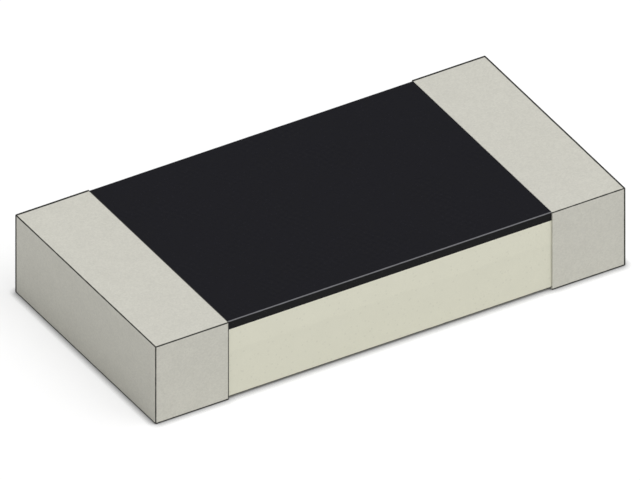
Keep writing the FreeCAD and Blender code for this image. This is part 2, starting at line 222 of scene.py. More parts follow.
class EffectGroup(NodeBench):
    """A node group for one effect that several finishes share, built once and kept by name."""

    name = "effect"
    vectors: tuple[str, ...] = ("Position",)  # names of its vector inputs
    numbers: tuple[str, ...] = ()  # names of its number inputs
    outputs: tuple[str, ...] = ()

    def __init__(self) -> None:
        """Make the group with its sockets and its nodes."""
        tree = bpy.data.node_groups.new(self.name, "ShaderNodeTree")
        for names, way, kind in (
            (self.vectors, "INPUT", "NodeSocketVector"),
            (self.numbers, "INPUT", "NodeSocketFloat"),
            (self.outputs, "OUTPUT", "NodeSocketFloat"),
        ):
            for name in names:
                tree.interface.new_socket(name, in_out=way, socket_type=kind)
        super().__init__(tree)
        self.given = tree.nodes.new("NodeGroupInput").outputs
        self.build()

    @classmethod
    def shared(cls) -> bpy.types.NodeTree:
        """Give the group's tree, built on the first call."""
        return bpy.data.node_groups.get(cls.name) or cls().tree

    def per(self, name: str) -> Socket:
        """Give 1 divided by one of the inputs."""
        return self.maths("DIVIDE", 1.0, self.given[name])

    def give(self, **values: Feed) -> None:
        """Send values to the outputs."""
        inputs = self.tree.nodes.new("NodeGroupOutput").inputs
        for name, value in values.items():
            self.feed(inputs[name], value)

    def build(self) -> None:
        """Add the effect's nodes and give its outputs."""
        raise NotImplementedError


class GrainEffect(EffectGroup):
    """Fine grain over a wider mottle, for a surface that is never one flat colour."""

    name = "fine_grain"
    numbers = ("Grain", "Mottle", "Contrast")
    outputs = ("Shade", "Height")
    mottle_height = 0.35

    def build(self) -> None:
        """Add the two noises and mix them."""
        fine = self.noise(self.given["Position"], self.per("Grain"), detail=3.0)
        wide = self.noise(self.given["Position"], self.per("Mottle"), detail=2.0)
        swing = self.maths("SUBTRACT", self.maths("ADD", fine, wide), 1.0)
        self.give(
            Shade=self.maths("MULTIPLY_ADD", swing, self.given["Contrast"], 1.0),
            Height=self.maths("MULTIPLY_ADD", wide, self.mottle_height, fine),
        )


class FacetEffect(EffectGroup):
    """Crystals of a plated or fired metal, each a shade of its own."""

    name = "crystal_facets"
    numbers = ("Size", "Contrast")
    outputs = ("Shade", "Height")

    def build(self) -> None:
        """Add the cells and read a shade and a dome from each."""
        cells = self.cells(self.given["Position"], self.per("Size"))
        swing = self.maths("SUBTRACT", self.split(cells["Color"])[0], 0.5)
        self.give(
            Shade=self.maths("MULTIPLY_ADD", swing, self.given["Contrast"], 1.0),
            Height=self.maths("SUBTRACT", 1.0, cells["Distance"]),
        )


class ArrisEffect(EffectGroup):
    """A mask, 1 on the arrises of a block and 0 on its faces, for a line painted along them."""

    name = "painted_arris_line"
    vectors = ("Position", "Centre", "Half Size")
    numbers = ("Width", "Ragged")
    outputs = ("Mask",)
    wander_scale = 22.0
    solid_share = 0.45  # how much of the width is 1

    def build(self) -> None:
        """Find how far a point is from the block's nearest edge.

        The distance is the middle one of the point's three distances to the block's faces.
        """
        place = self.given["Position"]
        offset = self.vector_maths("SUBTRACT", place, self.given["Centre"])
        offset = self.vector_maths("ABSOLUTE", offset)
        x, y, z = self.split(self.vector_maths("SUBTRACT", self.given["Half Size"], offset))
        less, more = self.maths("MINIMUM", x, y), self.maths("MAXIMUM", x, y)
        middle = self.maths("MAXIMUM", less, self.maths("MINIMUM", more, z))
        wander = self.maths("SUBTRACT", self.noise(place, self.wander_scale, detail=3.0), 0.5)
        distance = self.maths("MULTIPLY_ADD", wander, self.given["Ragged"], middle)
        share = self.maths("DIVIDE", distance, self.given["Width"])
        self.give(Mask=self.remap(share, (self.solid_share, 1.0), (1.0, 0.0), smooth=True))


class ScreenEffect(EffectGroup):
    """Low dimples that a woven printing screen leaves in a paste."""

    name = "screen_print"
    numbers = ("Pitch",)
    outputs = ("Height",)
    turn = 22.5  # how the screen lies
    drift = 0.06  # how far its threads wander
    drift_scale = 9.0
    level_scale = 3.0
    levelling = (0.42, 0.68)  # the noise where the paste levels most and least
    dimples = (0.05, 0.6)  # how deep the dimples are there

    def build(self) -> None:
        """Cross two wandering waves and let the paste level most of them out."""
        place = self.given["Position"]
        wander = self.add("TexNoise", Vector=place, Scale=self.drift_scale, Detail=1.0)["Color"]
        drifted = self.vector_maths("ADD", place, self.scaled(wander, self.drift))
        turn = math.radians(self.turn)
        turned = self.add("VectorRotate", rotation_type="Z_AXIS", Vector=drifted, Angle=turn)[0]
        turns = self.maths("DIVIDE", 2 * math.pi, self.given["Pitch"])
        x, y, _ = self.split(self.scaled(turned, turns))
        weave = self.maths("MULTIPLY", self.maths("SINE", x), self.maths("SINE", y))
        levelled = self.noise(place, self.level_scale, detail=2.0)
        depth = self.remap(levelled, self.levelling, self.dimples, smooth=True)
        self.give(Height=self.maths("MULTIPLY_ADD", weave, depth, 1.0))


# Finishes


@dataclass(frozen=True)
class Arris:
    """The block along whose edges a finish has a painted line."""

    low: Corner
    high: Corner
    width: float  # how far the painted line reaches in from an edge
    ragged: float  # how much that reach wanders


@dataclass(frozen=True)
class Finish:
    """What every finish has."""

    name: str
    colour: Colour
    arrises: tuple[Arris, ...] = ()  # the blocks along whose edges a line is painted
    painted_edge_colour: Colour = (0.03, 0.03, 0.027)  # the colour painted there: dark outlines and shade on tin and ceramic, a highlight on the coat
    roughness: Range = (0.4, 0.5)
    specular: float = 0.5
    grain: float = 0.02  # the size of its grain
    mottle: float = 0.12  # the size of its wider patches
    contrast: float = 0.08  # how much grain and patches differ
    relief: float = 0.0004  # the depth of its relief

    def make(self) -> bpy.types.Material:
        """Build the material.

        Returns:
            The finished material.
        """
        sheet = FinishSheet(self)
        self.lay(sheet)
        return sheet.material

    def lay(self, sheet: "FinishSheet") -> None:
        """Lay this finish on a sheet."""
        raise NotImplementedError


class FinishSheet(NodeBench):
    """The nodes of one finish: its place, its grain, its gloss and its painted edge lines."""

    def __init__(self, finish: Finish) -> None:
        """Start the material.

        Args:
            finish: the finish that is made.
        """
        self.finish = finish
        self.material = bpy.data.materials.new(finish.name)
        self.material.use_nodes = True
        self.material.diffuse_color = (*finish.colour, 1.0)
        super().__init__(self.material.node_tree)
        self.position = self.scaled(self.add("TexCoord")["Object"], METRE)
        sizes = {"Grain": finish.grain, "Mottle": finish.mottle, "Contrast": finish.contrast}
        self.shade, self.height = self.place(GrainEffect, **sizes)
        self.gloss = self.remap(self.height, GRAIN_HEIGHTS, finish.roughness)
        # Painted lines along the arrises of each block.
        masks = [self.painted_edge_mask(arris) for arris in finish.arrises]
        self.painted_edges = self.greatest(masks) if masks else None

    def place(self, effect: type[EffectGroup], **values: Feed) -> Sockets:
        """Place a shared effect on the piece and give its outputs."""
        return self.add("Group", node_tree=effect.shared(), Position=self.position, **values)

    def painted_edge_mask(self, arris: Arris) -> Socket:
        """Place the painted line along one block's edges.

        Args:
            arris: the block.

        Returns:
            The mask of the painted line.
        """
        low, high = Vector(arris.low), Vector(arris.high)
        block = {"Centre": (low + high) / 2, "Half_Size": (high - low) / 2}
        line = {"Width": arris.width, "Ragged": arris.ragged}
        return self.place(ArrisEffect, **block, **line)["Mask"]

    def dress(self, colour: Socket, height: Socket, **levels: Feed) -> None:
        """Paint the edge lines, raise the relief and add the shader.

        Args:
            colour: the colour away from the painted edge lines.
            height: the relief's height, about 0 to 1.
            levels: names and values of the shader's other inputs.
        """
        # The painted edge lines mix in here, dark on the tin and ceramic and light on the coat.
        if self.painted_edges is not None:
            colour = self.mix(self.painted_edges, colour, (*self.finish.painted_edge_colour, 1.0))
        depth = self.finish.relief / METRE
        normal = self.add("Bump", 1.0, depth, Height=height)[0]
        levels = {"Roughness": self.gloss, "Specular_IOR_Level": self.finish.specular} | levels
        shader = self.add("BsdfPrincipled", colour, Normal=normal, **levels)[0]
        self.add("OutputMaterial", shader)


@dataclass(frozen=True)
class PlatedMetal(Finish):
    """A plated, printed or fired metal with visible crystals."""

    crystal: float = 0.4  # the size of a crystal against the grain's
    facet_height: float = 0.5  # the height of its dome against the grain's
    metallic: Range = (1.0, 1.0)  # the share of bare metal, less where oxide clouds it
    edge_line_roughness: float = 0.3  # how much rougher it is under its painted dark edge lines

    def lay(self, sheet: FinishSheet) -> None:
        """Add the crystals, the cloudy oxide and the painted dark edge lines.

        Args:
            sheet: the sheet to lay it on.
        """
        size = self.grain * self.crystal
        facets = sheet.place(FacetEffect, Size=size, Contrast=self.contrast)
        shade = sheet.maths("MULTIPLY", facets["Shade"], sheet.shade)
        height = sheet.maths("MULTIPLY_ADD", facets["Height"], self.facet_height, sheet.height)
        gloss, bare = sheet.gloss, self.metallic[1]
        if self.metallic[0] != bare:
            bare = sheet.remap(sheet.height, GRAIN_HEIGHTS[::-1], self.metallic)
        # Under the painted dark edge lines the metal turns matt, so they stay dark where light
        # would catch the edge.
        if sheet.painted_edges is not None:
            bare = sheet.maths("MULTIPLY", bare, sheet.maths("SUBTRACT", 1.0, sheet.painted_edges))
            gloss = sheet.maths("MULTIPLY_ADD", sheet.painted_edges, self.edge_line_roughness, gloss)
        colour = sheet.shaded((*self.colour, 1.0), shade)
        sheet.dress(colour, height, Metallic=bare, Roughness=gloss)


@dataclass(frozen=True)
class FiredAlumina(Finish):
    """Fired alumina: matt and fine, with small pits and a faintly rougher snapped zone."""

    # the dark line painted along its lower edges, painted shade by the gap under it
    painted_edge_colour: Colour = (0.09, 0.09, 0.075)
    roughness: Range = (0.62, 0.8)
    specular: float = 0.25
    grain: float = 0.014
    mottle: float = 0.16
    contrast: float = 0.05
    relief: float = 0.0009
    pit_scale: float = 30.0
    pit_reach: Range = (0.08, 0.26)  # how far out a pit starts to end and ends
    pit_shade: float = 0.93
    pit_depth: float = 2.0  # against the grain's
    score_height: float = 0.33  # the edge between the scored and the snapped zone
    zone_end: Range = (0.015, 0.035)  # how far above it the snapped zone's shade fades
    zone_shade: float = 0.975
    zone_wander: float = 0.05
    zone_scale: float = 14.0

    def lay(self, sheet: FinishSheet) -> None:
        """Add the pits and the snapped zone.

        Args:
            sheet: the sheet to lay it on.
        """
        pits = sheet.cells(sheet.position, self.pit_scale)["Distance"]
        pit = sheet.remap(pits, self.pit_reach, (self.pit_shade, 1.0), smooth=True)
        wander = sheet.noise(sheet.position, self.zone_scale, detail=3.0)
        upward = sheet.split(sheet.position)[2]
        upward = sheet.maths("MULTIPLY_ADD", wander, self.zone_wander, upward)
        fade = tuple(self.score_height + rise for rise in self.zone_end)
        snapped = sheet.remap(upward, fade, (self.zone_shade, 1.0), smooth=True)
        shade = sheet.maths("MULTIPLY", sheet.maths("MULTIPLY", sheet.shade, pit), snapped)
        height = sheet.maths("MULTIPLY_ADD", pit, self.pit_depth, sheet.height)
        sheet.dress(sheet.shaded((*self.colour, 1.0), shade), height)


@dataclass(frozen=True)
class PrintedEpoxy(Finish):
    """Black printed epoxy: satin, screen-dimpled, with a painted highlight on its rubbed edges."""

    # lighter along its top edges: rubbing and a painted highlight
    painted_edge_colour: Colour = (0.17, 0.17, 0.18)
    roughness: Range = (0.42, 0.6)
    specular: float = 0.035
    grain: float = 0.012
    mottle: float = 0.22
    contrast: float = 0.30
    relief: float = 0.0006
    grain_height: float = 0.5  # against the dimples'
    pitch: float = 0.062  # of the screen
    speck_scale: float = 42.0
    speck_reach: Range = (0.05, 0.2)  # how far out a speck starts to end and ends
    speck_shade: float = 2.0
    snapped: Colour = (0.0130, 0.0130, 0.0134)  # its sides' colour, painted lighter than the top for the light they lack
    side_y: float = 0.8  # how far out they lie
    side_start: Range = (0.002, 0.001)  # how far before them their colour starts and is full

    def lay(self, sheet: FinishSheet) -> None:
        """Add the specks, the sides painted lighter and the screen's dimples.

        Args:
            sheet: the sheet to lay it on.
        """
        specks = sheet.cells(sheet.position, self.speck_scale)["Distance"]
        speck = sheet.remap(specks, self.speck_reach, (self.speck_shade, 1.0), smooth=True)
        # The sides are painted lighter than the top: painted light for the light they lack.
        outward = sheet.maths("ABSOLUTE", sheet.split(sheet.position)[1])
        start = tuple(self.side_y - gap for gap in self.side_start)
        on_side = sheet.remap(outward, start, (0.0, 1.0))
        colour = sheet.mix(on_side, (*self.colour, 1.0), (*self.snapped, 1.0))
        colour = sheet.shaded(colour, sheet.maths("MULTIPLY", sheet.shade, speck))
        screen = sheet.place(ScreenEffect, Pitch=self.pitch)[0]
        sheet.dress(colour, sheet.maths("MULTIPLY_ADD", sheet.height, self.grain_height, screen))


@dataclass(frozen=True)
class PrintedGlass(Finish):
    """A printed glass or clear seal, cloudy where it holds small bubbles."""

    roughness: Range = (0.08, 0.2)
    mottle: float = 0.15
    contrast: float = 0.15
    relief: float = 0.0003
    clearness: float = 0.6  # the share of the light that goes through
    bend: float = 1.52  # its index of refraction
    pitch: float = 0.08  # of the screen

    def lay(self, sheet: FinishSheet) -> None:
        """Add the bubbles' cloud and the screen's dimples.

        Args:
            sheet: the sheet to lay it on.
        """
        colour = sheet.shaded((*self.colour, 1.0), sheet.shade)
        screen = sheet.place(ScreenEffect, Pitch=self.pitch)[0]
        sheet.dress(colour, screen, IOR=self.bend, Transmission_Weight=self.clearness)


# Mesh drafting


def spread(start: float, end: float, spacing: float, hold: float = 0.0) -> list[float]:
    """Space values evenly from start to end.

    Args:
        start: the first value.
        end: the last value.
        spacing: the widest step.
        hold: if above 0, a short first and last step that keeps a face flat next to a rounding.

    Returns:
        The values, both ends included.
    """
    low, high = start + hold, end - hold
    count = max(1, math.ceil((high - low) / spacing))
    values = [low + (high - low) * index / count for index in range(count + 1)]
    return [start, *values, end] if hold > 0 else values


def quarter(steps: int) -> list[float]:
    """Give the angles of a quarter turn, in radians, both ends included."""
    return [math.pi / 2 * step / steps for step in range(steps + 1)]


def rounding(radius: float, steps: int) -> list[Point]:
    """Give how far on and how far in a rounded edge goes at each step."""
    return [(radius * math.sin(a), radius * (1 - math.cos(a))) for a in quarter(steps)]


@dataclass
class MeshDraft:
    """Points and faces of a piece, before it becomes an object."""

    points: list[Vector] = field(default_factory=list)
    relief: list[float] = field(default_factory=list)  # each point's share of the relief
    faces: list[tuple[int, ...]] = field(default_factory=list)

    def row(self, points: Iterable[Corner], relief: float = 0.0) -> list[int]:
        """Add points.

        Args:
            points: the points to add.
            relief: how much of the piece's surface relief they take, 0 to 1.

        Returns:
            The numbers of the new points.
        """
        first = len(self.points)
        self.points += [Vector(point) for point in points]
        self.relief += [relief] * (len(self.points) - first)
        return list(range(first, len(self.points)))

    def sheet(self, rows: list[list[int]], closed: bool = False) -> None:
        """Fill the strips between rows of one length that follow each other.

        Args:
            rows: the point numbers of each row.
            closed: whether each row runs round to its own start.
        """
        for first, second in zip(rows, rows[1:]):
            count = len(first)
            for index in range(count if closed else count - 1):
                after = (index + 1) % count
                self.faces.append((first[index], first[after], second[after], second[index]))

    def build(
        self,
        name: str,
        material: bpy.types.Material,
        uneven: Callable[[Vector], float] | None = None,
    ) -> bpy.types.Object:
        """Turn the draft into an object in metres.

        Args:
            name: the object's name.
            material: its finish.
            uneven: how far a point with full relief sinks from its place.

        Returns:
            The new object, smooth but for its sharp arrises.
        """
        draft = bmesh.new()
        layer = draft.verts.layers.float.new("relief")
        corners = [draft.verts.new(point) for point in self.points]
        for corner, share in zip(corners, self.relief):
            corner[layer] = share
        for face in self.faces:
            draft.faces.new([corners[number] for number in face])
        bmesh.ops.remove_doubles(draft, verts=draft.verts, dist=MERGE_DISTANCE)
        bmesh.ops.dissolve_degenerate(draft, edges=draft.edges, dist=MERGE_DISTANCE)
        bmesh.ops.recalc_face_normals(draft, faces=draft.faces)
        draft.normal_update()
        if uneven is not None:
            for corner in draft.verts:
                corner.co -= corner.normal * (uneven(corner.co) * corner[layer])
        mesh = bpy.data.meshes.new(name)
        draft.to_mesh(mesh)
        draft.free()
        mesh.transform(Matrix.Scale(1.0 / METRE, 4))
        mesh.shade_smooth()
        mesh.set_sharp_from_angle(angle=math.radians(SHARP_ANGLE))
        mesh.materials.append(material)
        piece = bpy.data.objects.new(name, mesh)
        bpy.context.scene.collection.objects.link(piece)
        return piece


@dataclass(frozen=True)
class SectionOutline:
    """A rounded rectangle across the fuse, in Y and Z."""

    half_width: float
    low: float
    high: float
    radius: float
    spacing: float  # the widest step between points
    arc_steps: int = 6  # the steps round each corner
    hold: float = 0.003  # a short step next to each corner

    def across(self) -> list[float]:
        """Y of the points along the flat top or underside."""
        reach = self.half_width - self.radius
        return spread(-reach, reach, self.spacing, self.hold)

    def upward(self) -> list[float]:
        """Z of the points along a flat side."""
        return spread(self.low + self.radius, self.high - self.radius, self.spacing, self.hold)

    def ring(self, inset: float) -> list[Point]:
        """Points of the outline, drawn in by an inset, from the underside round to the start.

        Args:
            inset: how far it is drawn in, at most the radius.

        Returns:
            The points as Y and Z, the second half of them the first half turned round.
        """
        reach, radius = self.half_width - self.radius, self.radius - inset

        def arc(z: float, start: float) -> list[Point]:
            """Points inside the arc of one corner."""
            angles = [start + angle for angle in quarter(self.arc_steps)[1:-1]]
            return [(reach + radius * math.cos(a), z + radius * math.sin(a)) for a in angles]

        half = [(y, self.low + inset) for y in self.across()]
        half += arc(self.low + self.radius, -math.pi / 2)
        half += [(self.half_width - inset, z) for z in self.upward()]
        half += arc(self.high - self.radius, 0.0)
        return half + [(-y, self.low + self.high - z) for y, z in half]

    def stations(self, draft: MeshDraft, stops: list[Corner]) -> list[list[int]]:
        """Add a ring of points at each stop and the faces between them.

        Args:
            draft: the draft that takes them.
            stops: the X, the inset and the relief of each ring.

        Returns:
            The point numbers of each ring.
        """
        rows = []
        for x, inset, relief in stops:
            rows.append(draft.row([(x, y, z) for y, z in self.ring(inset)], relief))
        draft.sheet(rows, closed=True)
        return rows

    def end_face(self, draft: MeshDraft, x: float, relief: float) -> None:
        """Add a flat end face, drawn in by the whole radius."""
        draft.sheet([draft.row([(x, y, z) for y in self.across()], relief) for z in self.upward()])


@dataclass(frozen=True)
class Swell:
    """A smooth swell that makes a surface uneven."""

    rate: Corner  # how fast it changes along X, Y and Z
    size: float  # how much it adds, either way
    start: float = 0.0  # where it starts along Z

    def at(self, place: Vector) -> float:
        """Give the swell at a place."""
        x, y, z = (value * rate for value, rate in zip(place, self.rate))
        return self.size * noise.noise(Vector((x, y, z + self.start)))


def packed_box(node: str) -> tuple[Vector, Vector]:
    """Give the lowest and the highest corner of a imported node."""
    low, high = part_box(node)
    return low * METRE, high * METRE


# Sub-assemblies


@dataclass
class SubAssembly:
    """A group of pieces that belong together on the fuse."""

    frame: dict
    depth: float = 0.0  # the deepest that its relief sinks
    swells: tuple[Swell, ...] = ()

    def uneven(self, place: Vector) -> float:
        """Give how far the surface sinks at a place."""
        return self.depth * (0.5 + sum(swell.at(place) for swell in self.swells))

    def dress(self, node: str, material: bpy.types.Material) -> None:
        """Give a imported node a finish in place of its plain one.

        Args:
            node: the node's name.
            material: its finish.
        """
        for slot in self.frame["nodes"][node].material_slots:
            slot.material = material
        log.info("%s: packed mesh, finish %s", node, material.name)

    def settle(self, piece: bpy.types.Object, node: str, slot: str) -> None:
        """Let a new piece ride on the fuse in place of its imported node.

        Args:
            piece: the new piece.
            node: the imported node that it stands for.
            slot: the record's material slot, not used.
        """
        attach(piece, BODY)
        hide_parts(node)
        log.info("%s: %d faces, stands for %s", piece.name, len(piece.data.polygons), node)

    def build(self) -> None:
        """Build and dress the pieces."""
        raise NotImplementedError


@dataclass
class CeramicBlock(SubAssembly):
    """The alumina block that carries every print."""

    depth: float = 0.0016
    spacing: float = 0.012  # the widest step of its mesh
    edge_radius: float = 0.004  # of its tumbled long edges
    end_bevel: float = 0.003  # round its hidden end faces
    visible_reach: float = 1.09  # how far out its relief goes, just short of the caps
    score_height: float = 0.33  # the edge between the scored and the snapped zone
    score_blur: float = 0.006  # how soft that edge is
    score_wander: Swell = Swell((9, 1, 0), 0.012, start=4.0)
    broad: Swell = Swell((6, 6, 9), 0.5)  # the slow swell of the whole surface
    hackle: Swell = Swell((26, 26, 11), 0.5)  # the rougher break of the snapped zone
    hackle_share: float = 0.65  # how much of the depth the break can take

    def uneven(self, place: Vector) -> float:
        """Give how far the surface sinks, more in the snapped zone below the score.

        Args:
            place: a point on the block.

        Returns:
            The depth.
        """
        broad, hackle = 0.5 + self.broad.at(place), 0.5 + self.hackle.at(place)
        edge = self.score_height + self.score_wander.at(place)
        snapped = 1.0 / (1.0 + math.exp((place.z - edge) / self.score_blur))
        rest = 1.0 - self.hackle_share
        return self.depth * (rest * broad + self.hackle_share * hackle * snapped)

    def build(self) -> None:
        """Build and dress the block."""
        low, high = packed_box("ceramic_substrate")
        outline = SectionOutline(high.y, low.z, high.z, self.edge_radius, self.spacing)
        draft = MeshDraft()
        flat_end = high.x - self.end_bevel
        inner = spread(-self.visible_reach, self.visible_reach, self.spacing)
        stations = [(-high.x, self.end_bevel, 0.0), (-flat_end, 0.0, 0.0)]
        stations += [(x, 0.0, 1.0) for x in inner]
        stations += [(flat_end, 0.0, 0.0), (high.x, self.end_bevel, 0.0)]
        rows = outline.stations(draft, stations)
        draft.faces += [tuple(rows[0]), tuple(rows[-1])]
        for number, point in enumerate(draft.points):
            if point.z > high.z - self.edge_radius:
                draft.relief[number] = 0.0
        # A dark line painted along the lower long edges: painted shade next to the gap under the
        # block.
        lower_edges = Arris((-FAR, low.y, low.z), (FAR, high.y, FAR), width=0.009, ragged=0.002)
        finish = FiredAlumina(
            "alumina", (0.736, 0.728, 0.603), (lower_edges,), score_height=self.score_height
        )
        piece = draft.build("ceramic_block", finish.make(), self.uneven)
        self.settle(piece, "ceramic_substrate", "alumina")


@dataclass
class FuseLink(SubAssembly):
    """The sealed layers on the ceramic: glass pad, metal film, dot of tin and clear seal."""

    pad: Finish = PrintedGlass("barrier_glass", (0.52, 0.62, 0.58), clearness=0.35)
    film: Finish = PlatedMetal(
        "link_film", (0.80, 0.42, 0.26), roughness=(0.28, 0.42), grain=0.015, mottle=0.08
    )
    dot: Finish = PlatedMetal(
        "link_tin", (0.66, 0.66, 0.64), roughness=(0.25, 0.4), grain=0.030, mottle=0.05
    )
    seal: Finish = PrintedGlass("clear_seal", (0.78, 0.80, 0.70), clearness=0.85)

    def build(self) -> None:
        """Dress the four packed layers."""
        self.dress("thermal_barrier", self.pad.make())
        self.dress("fuse_element", self.film.make())
        self.dress("tin_spot", self.dot.make())
        self.dress("passivation", self.seal.make())


@dataclass
class BlackCoat(SubAssembly):
    """The black print between the caps, which flows over everything printed below it."""

    depth: float = 0.0008
    swells: tuple[Swell, ...] = (
        Swell((3.1, 3.1, 0), 0.35, start=7.0),
        Swell((13, 13, 0), 0.15, start=2.0),
    )
    spacing: float = 0.02  # the widest step of its mesh
    edge_radius: float = 0.004  # of its long top edges
    arc_steps: int = 4  # the steps round a long top edge
    hold: float = 0.003  # a short step next to one
    drape_reach: float = 0.77  # how far out the prints below it can reach
    end_step: float = 1e-4  # how far inside its ends the prints below are felt for
    covered: tuple[str, ...] = (
        "ceramic_substrate",
        "thermal_barrier",
        "fuse_element",
        "tin_spot",
        "passivation",
        "top_electrode_left",
        "top_electrode_right",
    )

    def prints_below(self) -> BVHTree:
        """Gather what lies under the coat.

        Returns:
            The tree of all its faces.
        """
        points: list[Vector] = []
        faces: list[tuple[int, ...]] = []
        for node in self.covered:
            mesh = self.frame["nodes"][node].data
            first = len(points)
            points += [v.co * METRE for v in mesh.vertices]
            faces += [tuple(first + number for number in f.vertices) for f in mesh.polygons]
        return BVHTree.FromPolygons(points, faces)

    def underside(self, xs: list[float], ys: list[float]) -> list[list[float]]:
        """Find the height of what lies below each point of a grid.

        Inside the reach of the prints the coat keeps to the highest of the points around it, so
        that it stays clear of their steep sides.

        Args:
            xs: the grid's X values.
            ys: the grid's Y values.

        Returns:
            One list of heights for each X.
        """
        below = self.prints_below()
        floor = packed_box("overcoat")[0].z
        inner_end = xs[-1] - self.end_step
        heights = []
        for x in xs:
            starts = [Vector((max(-inner_end, min(inner_end, x)), y, 1.0)) for y in ys]
            hits = [below.ray_cast(start, Vector((0.0, 0.0, -1.0)))[0] for start in starts]
            heights.append([floor if hit is None else hit.z for hit in hits])
        clear = [list(column) for column in heights]
        for i, column in enumerate(clear):
            around = heights[max(0, i - 1) : i + 2]
            for j, y in enumerate(ys):
                if abs(y) < self.drape_reach:
                    column[j] = max(max(near[j - 1 : j + 2]) for near in around)
        return clear

    def build(self) -> None:
        """Build and dress the coat."""
        low, high = packed_box("overcoat")
        reach = high.y - self.edge_radius
        middle = [(y, high.z) for y in spread(-reach, reach, self.spacing, self.hold)]
        edge = rounding(self.edge_radius, self.arc_steps)[1:]
        arc = [(reach + on, high.z - drop) for on, drop in edge]
        top = [(-y, z) for y, z in reversed(arc)] + middle + arc
        ys = [y for y, _ in top]
        xs = spread(low.x, high.x, self.spacing)

        draft = MeshDraft()
        upper, lower, left_side, right_side = [], [], [], []
        for x, column in zip(xs, self.underside(xs, ys)):
            upper.append(draft.row([(x, y, z) for y, z in top], 1.0))
            lower.append(draft.row([(x, y, z) for y, z in zip(ys, column)]))
            for side, index in ((left_side, 0), (right_side, -1)):
                wall = spread(column[index], top[index][1], self.spacing)
                side.append(draft.row([(x, ys[index], z) for z in wall]))
        for rows in (upper, lower, left_side, right_side):
            draft.sheet(rows)
        for index in (0, -1):
            rim = upper[index] + right_side[index][-2:0:-1]
            rim += lower[index][::-1] + left_side[index][1:-1]
            draft.faces.append(tuple(rim))
        # The top long edges are lighter: rubbed, and a painted highlight on their rounding.
        highlight_edges = Arris((-FAR, low.y, -FAR), (FAR, high.y, high.z), width=0.007, ragged=0.003)
        finish = PrintedEpoxy("black_epoxy", (0.0069, 0.0069, 0.0096), (highlight_edges,), side_y=high.y)
        piece = draft.build("black_coat", finish.make(), self.uneven)
        self.settle(piece, "overcoat", "black_epoxy")


@dataclass
class PrintedContacts(SubAssembly):
    """The printed contacts above and below the ceramic at both ends."""

    paste: Finish = PlatedMetal(
        "printed_contact",
        (0.68, 0.66, 0.60),
        roughness=(0.5, 0.68),
        grain=0.025,
        mottle=0.09,
        contrast=0.14,
        relief=0.0012,
    )

    def build(self) -> None:
        """Dress the four packed contacts with one paste."""
        material = self.paste.make()
        for end in End:
            for side in ("top", "back"):
                self.dress(f"{side}_electrode_{end.label}", material)


